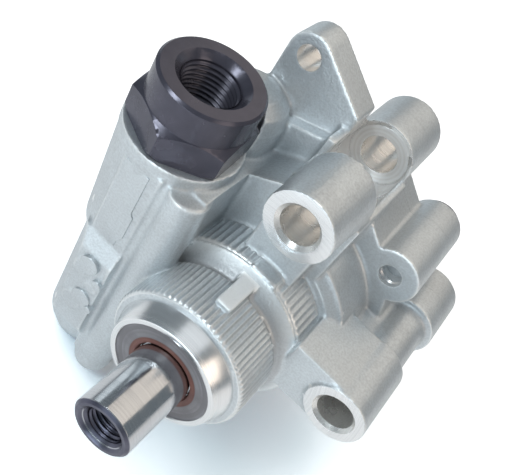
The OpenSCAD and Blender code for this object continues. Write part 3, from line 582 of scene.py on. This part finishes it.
def fill_corners(mesh, turns, low, high):
    """Grows soft fillets in a skin's inner corners inside a box; its outer edges stay as they are."""
    count = len(mesh.vertices)
    place = np.empty(count * 3)
    mesh.vertices.foreach_get("co", place)
    place = place.reshape(-1, 3)
    ends = np.empty(len(mesh.edges) * 2, dtype=np.int32)
    mesh.edges.foreach_get("vertices", ends)
    a, b = ends[0::2], ends[1::2]
    degree = np.bincount(ends, minlength=count)
    inside = ((place > np.array(low) * MM) & (place < np.array(high) * MM)).all(axis=1)
    normal = np.empty(count * 3)
    for _ in range(turns):
        mesh.vertex_normals.foreach_get("vector", normal)
        out = normal.reshape(-1, 3)
        total = np.stack([np.bincount(a, place[b, k], count) + np.bincount(b, place[a, k], count)
                          for k in range(3)], axis=1)  # sum of each vertex's neighbours
        lift = ((total / degree[:, None] - place) * out).sum(axis=1)
        lift = np.where(inside & (lift > LEAST_LIFT), lift, 0.0)
        place = place + out * (LIFT_SHARE * lift)[:, None]
        mesh.vertices.foreach_set("co", place.ravel())
        mesh.update()


def cut_mesh(name, rods):
    """Cutter made of rods; each is (centre, direction, length, radius, end radius)."""
    work = bmesh.new()
    for centre, direction, length, r0, r1 in rods:
        add_rod(work, centre, direction, length, r0, r1, sides=96)
    return as_mesh(work, name)


def bore(hole, start, end, radius, end_radius=None):
    """A cutter's rod along the shaft, over the centre of a hole and from one y to another."""
    return (hole[0], start, hole[1]), ALONG, end - start, radius, end_radius or radius


def machine(mesh):
    """Cuts faces and holes into the casting, in turns that don't overlap."""
    rear_end, lug_end = REAR_FACE_Y + 6.0, LUG_FACE_Y + 6.0
    faces = [bore((0, 0), -3.0, NOSE_LEN, 27.0),
             bore(UPPER, 18.0, MOUNT_FACE_Y, 13.0), bore(SIDE, 18.0, MOUNT_FACE_Y, 13.0),
             bore(UPPER, *POCKET_Y, POCKET_R),
             bore(UPPER, REAR_FACE_Y, rear_end, 13.0), bore(SIDE, REAR_FACE_Y, rear_end, 12.0),
             ((VALVE_X, VALVE_Y, FITTING_SEAT_Z), UP, 20.0, 16.57, 16.57)]
    faces += [bore(lug, LUG_FACE_Y, lug_end, 9.5) for lug in LUGS]
    holes = [bore((0, 0), NOSE_LEN - 1.0, NOSE_LEN + 3.0, NOSE_BORE_R),
             bore(UPPER, 20.0, 90.0, MOUNT_R), bore(SIDE, 20.0, 90.0, MOUNT_R),
             bore(EAR, 50.0, 68.0, SMALL_HOLE_R), bore(LUGS[0], 50.0, 59.0, SMALL_HOLE_R),
             ((-55.0, PORT_Y, PORT_Z), ACROSS, 23.0, PORT_R, PORT_R),
             ((VALVE_X, VALVE_Y, 30.0), UP, 12.0, 12.9, 12.9)]
    rims = [bore(UPPER, 21.9, 23.4, 6.75, MOUNT_R), bore(SIDE, 21.9, 23.4, 6.75, MOUNT_R),
            bore(LUGS[0], 55.3, 56.3, 4.3, SMALL_HOLE_R)]
    for name, rods in (("faces", faces), ("holes", holes), ("rims", rims)):
        mesh = cut(mesh, cut_mesh(name, rods), "casting")
    low = (UPPER[0] - POCKET_HALF, POCKET_Y[0], UPPER[1])
    high = (UPPER[0] + POCKET_HALF, POCKET_Y[1], 75.0)
    return cut(mesh, box_mesh("pocket", low, high), "casting")


def mark_machined(mesh):
    """Gives each face of the casting one of its finishes, found by where the face lies."""
    count = len(mesh.polygons)
    centre, normal = np.empty(count * 3), np.empty(count * 3)
    mesh.polygons.foreach_get("center", centre)
    mesh.polygons.foreach_get("normal", normal)
    x, y, z = (centre.reshape(-1, 3) / MM).T
    _, normal_y, normal_z = normal.reshape(-1, 3).T

    def away(hole):
        return np.hypot(x - hole[0], z - hole[1])

    # Faced ends: centre, y and reach
    faced = [(UPPER, MOUNT_FACE_Y, 12.0), (SIDE, MOUNT_FACE_Y, 12.0), (UPPER, POCKET_Y[1], 8.9),
             (UPPER, REAR_FACE_Y, 12.0), (SIDE, REAR_FACE_Y, 12.0)]
    faced += [(lug, LUG_FACE_Y, 9.4) for lug in LUGS]
    bright = np.zeros(count, dtype=bool)
    for hole, face_y, reach in faced:
        bright |= (np.abs(normal_y) > 0.995) & (away(hole) < reach) & (np.abs(y - face_y) < 0.04)

    # Top of the rib on the first barrel, given a painted highlight, and the neck between the barrels, given
    # painted shade that pales outwards into a painted highlight
    rib = (np.abs(x - RIB_X) < RIB_HALF) & (y > RIB_Y[0]) & (y < RIB_Y[1])
    sheen = rib & (z > RIB_Z[0]) & (z < RIB_Z[1]) & (normal_z > 0.4)
    neck = np.hypot(x, z)
    neck_shading = (y > 20.6) & (y < 25.2) & (neck > 18.0) & (neck < 24.2) & (np.abs(normal_y) < 0.9)

    # Walls of the bolt pocket, of the holes with their rims and of the suction port
    round_wall = (away(UPPER) < POCKET_R + 0.05) & (z < UPPER[1] + 0.1)
    side_wall = (np.abs(x - UPPER[0]) < POCKET_HALF + 0.05) & (z >= UPPER[1])
    pocket = (y > POCKET_Y[0] - 0.05) & (y < POCKET_Y[1] + 0.05) & (round_wall | side_wall)
    bored = pocket & ~bright
    for hole, radius in ((UPPER, MOUNT_R), (SIDE, MOUNT_R), (EAR, SMALL_HOLE_R), (LUGS[0], SMALL_HOLE_R)):
        wall = (away(hole) > radius - 0.1) & (away(hole) < radius + 1.1)
        bored |= wall & (np.abs(normal_y) < 0.9)
    bored |= (np.hypot(y - PORT_Y, z - PORT_Z) < PORT_R + 0.05) & (x < -30.0)
    spot_faced = (pocket & (away(UPPER) > 5.4)) | (bored & (away(LUGS[0]) < 4.5))

    masks = (spot_faced, bored, bright, sheen, neck_shading)
    finishes = [CASTING_FINISHES.index(m) for m in (SPOT_FACED, BORED, MACHINED, HIGHLIT, NECK_SHADING)]
    finish = np.select(masks, finishes, CASTING_FINISHES.index(ALUMINIUM))
    mesh.polygons.foreach_set("material_index", finish.astype(np.int32))
    mesh.update()


def half(mesh, low, high, name):
    """The part of a mesh inside a box, thinned to the number of triangles that a piece may have."""
    mesh = cut(mesh, box_mesh(name + "_box", low, high), name, keep=True)
    mesh.calc_loop_triangles()
    if len(mesh.loop_triangles) <= PIECE_TRIANGLES:
        return mesh
    obj = loose_object(name, mesh)
    fewer = obj.modifiers.new("fewer", "DECIMATE")
    fewer.ratio = PIECE_TRIANGLES / len(mesh.loop_triangles)
    result = shaped(obj)
    remove(obj)
    return result


casting = machine(rounded_casting())
front = half(casting.copy(), (-80, -10, -80), (80, JOINT_Y - JOINT_GAP, 90), "housing_casting")
rear = half(casting, (-80, JOINT_Y + JOINT_GAP, -80), (80, 100, 90), "cover_casting")
for name, mesh, node in (("housing_casting", front, "front_housing"),
                         ("cover_casting", rear, "rear_cover")):
    mesh.materials.clear()
    for finish in CASTING_FINISHES:
        mesh.materials.append(finish)
    mark_machined(mesh)
    finish_object(name, mesh, [])
    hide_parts(node)


# Turned nose ring and pocket face, as outlines of (radius, y), and the fluted barrels

NOSE_OUTLINE = [(14.72, 0.25), (14.95, 0.0), (15.9, 0.0), (16.25, 0.2), (18.3, 5.2), (18.35, 5.9),
                (14.72, 5.9)]
POCKET_FACE_OUTLINE = [(5.27, 64.45), (5.45, 64.27), (8.25, 64.27), (8.3, 64.5), (5.27, 64.5)]

nose = turned("seal_nose", NOSE_OUTLINE, SHAFT_AXIS)
finish_object("seal_nose", nose, [MACHINED])
spot_face = turned("pocket_face", POCKET_FACE_OUTLINE, UPPER_AXIS, 96)
finish_object("pocket_face", spot_face, [SPOT_FACED])

# Steps of a barrel's ends: distance from that end, drop below the crest, share of the flutes' depth
TIGHT_SHOULDER = [(0.0, 2.2, 0.0), (0.02, 1.1, 0.0), (0.3, 0.45, 0.35), (0.75, 0.12, 0.75), (1.3, 0.0, 1.0)]
ROUND_SHOULDER = [(0.0, 2.2, 0.0), (0.05, 1.3, 0.0), (0.4, 0.6, 0.0), (1.0, 0.15, 0.3), (1.9, 0.0, 1.0)]
REAR_EDGE = [(0.5, 0.15, 0.8), (0.15, 0.5, 0.3), (0.0, 1.1, 0.0)]
CREST_END = 0.9
CREST_RINGS = 6
FLUTE_DEPTH = 0.34
GROOVE_POWER = 0.7


def fluted_barrel(name, start, end, radius, shoulder, depth, count, steps=14):
    """Barrel with rounded flutes that fade out at both ends."""
    rings = [(start + along, radius - drop, share) for along, drop, share in shoulder]
    first, last = start + shoulder[-1][0], end - CREST_END
    rings += [(first + (last - first) * k / CREST_RINGS, radius, 1.0) for k in range(1, CREST_RINGS + 1)]
    rings += [(end - along, radius - drop, share) for along, drop, share in REAR_EDGE]
    around = count * steps
    verts, faces = [], []
    for y, r, strength in rings:
        for k in range(around):
            a = 2.0 * math.pi * k / around
            wave = 0.5 - 0.5 * math.cos(2.0 * math.pi * (k % steps) / steps)
            rr = r - depth * strength * wave ** GROOVE_POWER
            verts.append((rr * MM * math.cos(a), y * MM, rr * MM * math.sin(a)))
    for i in range(len(rings) - 1):
        for k in range(around):
            n = (k + 1) % around
            faces.append((i * around + k, i * around + n, (i + 1) * around + n, (i + 1) * around + k))
    mesh = bpy.data.meshes.new(name)
    mesh.from_pydata(verts, [], faces)
    return outward(mesh)


for name, barrel, shoulder, count in (("front_flutes", BARRELS[0], TIGHT_SHOULDER, 80),
                                      ("rear_flutes", BARRELS[1], ROUND_SHOULDER, 76)):
    flutes = fluted_barrel(name, *barrel, shoulder, FLUTE_DEPTH, count)
    finish_object(name, flutes, [ALUMINIUM], sharp=60)


# Ejector marks and the mould step on the valve body

PAD_Y = 14.1
LOW_PAD_Y = 11.9
# x, z, radius and height of each mark
MARKS = [(-34.6, -4.6, 3.1, 1.15), (-30.2, -9.6, 1.7, 1.0), (-32.8, -20.0, 3.3, 0.55),
         (-29.2, -21.6, 1.3, 0.9)]
STEP_OUTLINE = [(-39.4, 5.6), (-32.2, 5.6), (-32.2, 7.6), (-31.0, 10.4), (-31.0, 19.0), (-32.0, 20.0),
                (-32.0, 34.0), (-39.4, 34.0)]
STEP_HEIGHT = 0.3
ROOT = 1.0
MARK_BEVEL, STEP_BEVEL = 0.25, 0.15


def raised_outline(name, points, top, bottom, bevel):
    """Plate in an x, z outline between two y positions, with broken edges on its front."""
    work = bmesh.new()
    ring = [work.verts.new((x * MM, top * MM, z * MM)) for x, z in points]
    face = work.faces.new(ring)
    grown = bmesh.ops.extrude_face_region(work, geom=[face])
    moved = [v for v in grown["geom"] if isinstance(v, bmesh.types.BMVert)]
    bmesh.ops.translate(work, vec=(0, (bottom - top) * MM, 0), verts=moved)
    bmesh.ops.recalc_face_normals(work, faces=work.faces)
    front = [e for e in work.edges if all(abs(v.co.y - top * MM) < 1e-7 for v in e.verts)]
    bmesh.ops.bevel(work, geom=front, offset=bevel * MM, segments=3, profile=0.5, affect="EDGES")
    return as_mesh(work, name)


def disc(x, z, r, sides=48):
    """Outline of a round mark."""
    angles = [2.0 * math.pi * k / sides for k in range(sides)]
    return [(x + r * math.cos(a), z + r * math.sin(a)) for a in angles]


for number, (x, z, r, height) in enumerate(MARKS, 1):
    name = "ejector_mark_%d" % number
    mark = raised_outline(name, disc(x, z, r), LOW_PAD_Y - height, LOW_PAD_Y + ROOT, MARK_BEVEL)
    finish_object(name, mark, [MARK_ALUMINIUM], sharp=50)
plate = raised_outline("mould_step", STEP_OUTLINE, PAD_Y - STEP_HEIGHT, PAD_Y + ROOT, STEP_BEVEL)
finish_object("mould_step", plate, [MARK_ALUMINIUM], sharp=50)


# Threads

ROWS_PER_PITCH = 10
FLANK, ROOT_WIDTH = 1.35, 0.15


def thread(name, axis, low, high, outer, depth, pitch, sides=72):
    """Inner thread: a grid whose radius follows a helix, sizes in millimetres."""
    rows = int((high - low) / pitch * ROWS_PER_PITCH)
    centre, direction = Vector(axis[0]), Vector(axis[1])
    side = Vector((1.0, 0.0, 0.0))
    other = direction.cross(side)
    verts, faces = [], []
    for i in range(rows + 1):
        y = low + (high - low) * i / rows
        for k in range(sides):
            a = 2.0 * math.pi * k / sides
            turn = (y / pitch - k / sides) % 1.0
            crest = max(0.0, min(1.0, FLANK * (1.0 - abs(2.0 * turn - 1.0)) - ROOT_WIDTH))
            ease = min(1.0, (y - low) / pitch, (high - y) / pitch)
            r = outer - depth * crest * ease
            out = side * math.cos(a) + other * math.sin(a)
            verts.append(centre + out * (r * MM) + direction * (y * MM))
    for i in range(rows):
        for k in range(sides):
            n = (k + 1) % sides
            faces.append((i * sides + k, (i + 1) * sides + k, (i + 1) * sides + n, i * sides + n))
    mesh = bpy.data.meshes.new(name)
    mesh.from_pydata(verts, [], faces)
    return mesh


outlet = thread("outlet_thread", VALVE_AXIS, 40.0, 55.0, outer=7.58, depth=0.75, pitch=1.5)
finish_object("outlet_thread", outlet, [BLACK], sharp=60)
puller = thread("puller_thread", SHAFT_AXIS, -19.8, -1.4, outer=5.08, depth=0.6, pitch=1.25)
finish_object("puller_thread", puller, [SHAFT_STEEL], body="rotating_group", sharp=60)


# Finishes of the CAD pieces

FINISH = {"front_housing": ALUMINIUM, "rear_cover": ALUMINIUM, "drive_shaft": SHAFT_STEEL,
          "seal_case": SEAL_RUBBER, "seal_lip": LIP_RUBBER, "front_bush": BRONZE, "rear_bush": BRONZE,
          "plate_o_ring": SEAL_RUBBER, "cover_o_ring": SEAL_RUBBER, "fitting_o_ring": SEAL_RUBBER,
          "outlet_fitting": BLACK, "cover_screws": BLACK, "flow_spool": SPOOL_STEEL,
          "valve_spring": SPOOL_STEEL}
for name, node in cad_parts.items():
    node.data.materials.clear()
    node.data.materials.append(FINISH.get(name, STEEL))


def break_edges(node, width, angle):
    """Small bright edge breaks on a CAD piece."""
    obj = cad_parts[node]
    weld = obj.modifiers.new("weld", "WELD")
    weld.merge_threshold = 2e-6
    edge = obj.modifiers.new("edge", "BEVEL")
    edge.width = width * MM
    edge.segments = 2
    edge.limit_method = "ANGLE"
    edge.angle_limit = math.radians(angle)
    edge.harden_normals = False
    smooth = obj.modifiers.new("shade", "WEIGHTED_NORMAL")
    smooth.keep_sharp = True


break_edges("outlet_fitting", 0.18, angle=40.0)
break_edges("drive_shaft", 0.15, angle=35.0)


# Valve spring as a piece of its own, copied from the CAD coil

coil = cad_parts["valve_spring"].data.copy()
spring = finish_object("coil_spring", coil, [])
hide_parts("valve_spring")
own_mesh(spring)


# Floor, light and camera

FLOOR_HALF = 9.0
PAPER_TONES = ((0.93, 0.935, 0.95), (0.95, 0.955, 0.965))
# Own light of the floor: near the part, far from it, and in mirror images
FLOOR_NEAR, FLOOR_FAR, FLOOR_MIRRORED = 0.66, 1.0, 0.22
FAR_FROM, FAR_TO = 0.25, 1.2
# Reach of the painted shadow on the floor, and the direction towards the key lamp in which the part's cover
# darkens it
SHADOW_REACH = 0.08
TO_LIGHT = (-0.55, -0.4, 0.73)
# Openness at which the painted shadow on the floor is full and gone, for red, green and blue
SHADOW_SPANS = ((0.54, 0.84), (0.5, 0.81), (0.48, 0.79))
WORLD_LIGHT, WORLD_SEEN = (0.19, 0.22, 0.24), (1.0, 1.0, 1.0)
COOL, NEUTRAL = (0.88, 0.965, 1.0), (0.95, 0.98, 1.0)
# Name, place, aim, size, power and colour of each lamp
LAMPS = [("key_softbox", (-0.36, -0.45, 0.62), (0, 0.02, 0), (0.2, 0.2), 1.9, COOL),
         ("back_softbox", (0.1, 0.5, 0.55), (0, 0.03, 0), (0.9, 0.6), 1.4, (1.0, 0.87, 0.73)),
         ("ceiling_softbox", (0.0, -0.05, 0.85), (0, 0, 0), (0.7, 0.5), 0.7, NEUTRAL),
         ("right_softbox", (0.65, -0.1, 0.4), (0, 0.02, 0), (0.4, 0.5), 1.0, (1.0, 0.84, 0.7)),
         ("left_softbox", (-0.7, 0.65, 0.25), (0, 0.02, 0), (0.6, 0.4), 0.6, COOL),
         ("front_window", (-0.05, -0.75, 0.11), (0, 0.02, 0), (0.5, 0.3), 1.7, (0.8, 0.93, 1.0))]
# Camera fitted to the photograph: picture width and focal length in pixels, place and directions
PHOTO_WIDTH, FOCAL_PIXELS, SENSOR = 519.0, 735.95, 36.0
CAMERA_PLACE = (0.012915, -0.097045, 0.159595)
CAMERA_RIGHT = (0.71879418, 0.5464293, 0.42982549)
CAMERA_DOWN = (0.68789088, -0.46944335, -0.55356037)
CAMERA_AHEAD = (-0.10070289, 0.693569, -0.71331688)


def floor_paper():
    """White paper that is bright to the camera; its own light carries a painted shadow near the part,
    besides the real shadow of the lamps.
    """
    material, tree, shader = start_material("floor_paper", 0.0, 0.1)
    paper = new_node(tree, "ShaderNodeTexNoise", Scale=900.0, Detail=2.0)
    tone = blend_colour(tree, paper.outputs["Fac"], *PAPER_TONES)
    tree.links.new(tone, shader.inputs["Base Color"])
    shader.inputs["Roughness"].default_value = 0.9
    rays = tree.nodes.new("ShaderNodeLightPath").outputs
    away = new_node(tree, "ShaderNodeVectorMath", operation="LENGTH")
    tree.links.new(tree.nodes.new("ShaderNodeNewGeometry").outputs["Position"], away.inputs[0])
    own = span(tree, away.outputs["Value"], FAR_FROM, FAR_TO, FLOOR_NEAR, FLOOR_FAR)
    seen = maths(tree, "MULTIPLY", rays["Is Camera Ray"], own)
    mirrored = maths(tree, "MULTIPLY", rays["Is Glossy Ray"], FLOOR_MIRRORED)
    tree.links.new(maths(tree, "ADD", seen, mirrored), shader.inputs["Emission Strength"])
    # Painted shadow: the floor's own light is darkened where the part covers it towards the key lamp
    open_sky = new_node(tree, "ShaderNodeAmbientOcclusion", Distance=SHADOW_REACH)
    to_light = new_node(tree, "ShaderNodeCombineXYZ", **dict(zip("XYZ", TO_LIGHT)))
    tree.links.new(to_light.outputs[0], open_sky.inputs["Normal"])
    shadowed_glow = tree.nodes.new("ShaderNodeCombineColor")
    for socket, (full, gone) in zip(shadowed_glow.inputs, SHADOW_SPANS):
        tree.links.new(span(tree, open_sky.outputs["AO"], full, gone), socket)
    tree.links.new(shadowed_glow.outputs["Color"], shader.inputs["Emission Color"])
    return material


def add_floor():
    """Flat floor under the part."""
    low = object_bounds()[0]
    corners = [(x * FLOOR_HALF, y * FLOOR_HALF, low[2]) for x, y in ((-1, -1), (1, -1), (1, 1), (-1, 1))]
    floor_mesh = bpy.data.meshes.new("floor")
    floor_mesh.from_pydata(corners, [], [(0, 1, 2, 3)])
    floor_mesh.materials.append(floor_paper())
    floor = loose_object("floor", floor_mesh)


def add_world():
    """Weak light from all round, which the camera sees as white."""
    world = bpy.data.worlds.new("studio")
    bpy.context.scene.world = world
    world.use_nodes = True
    tree = world.node_tree
    rays = tree.nodes.new("ShaderNodeLightPath").outputs
    shown = blend_colour(tree, rays["Is Camera Ray"], WORLD_LIGHT, WORLD_SEEN)
    tree.links.new(shown, tree.nodes["Background"].inputs["Color"])


def add_lamp(name, place, aim, size, power, colour):
    """Rectangular soft lamp that points at a place."""
    data = bpy.data.lights.new(name, "AREA")
    data.shape = "RECTANGLE"
    data.size, data.size_y = size
    data.energy = power
    data.color = colour
    obj = loose_object(name, data)
    obj.location = place
    obj.rotation_euler = (Vector(aim) - Vector(place)).to_track_quat("-Z", "Y").to_euler()


def add_camera():
    """The camera of the photograph."""
    data = bpy.data.cameras.new("camera")
    data.sensor_fit = "HORIZONTAL"
    data.sensor_width = SENSOR
    data.lens = FOCAL_PIXELS * SENSOR / PHOTO_WIDTH
    data.clip_start = 0.005
    camera = loose_object("camera", data)
    rows = (Vector(CAMERA_RIGHT), -Vector(CAMERA_DOWN), -Vector(CAMERA_AHEAD))
    turn = Matrix(rows).transposed().to_4x4()
    camera.matrix_world = Matrix.Translation(CAMERA_PLACE) @ turn
    bpy.context.scene.camera = camera


add_floor()
add_world()
for row in LAMPS:
    add_lamp(*row)
add_camera()
bpy.context.scene.view_settings.view_transform = "Standard"
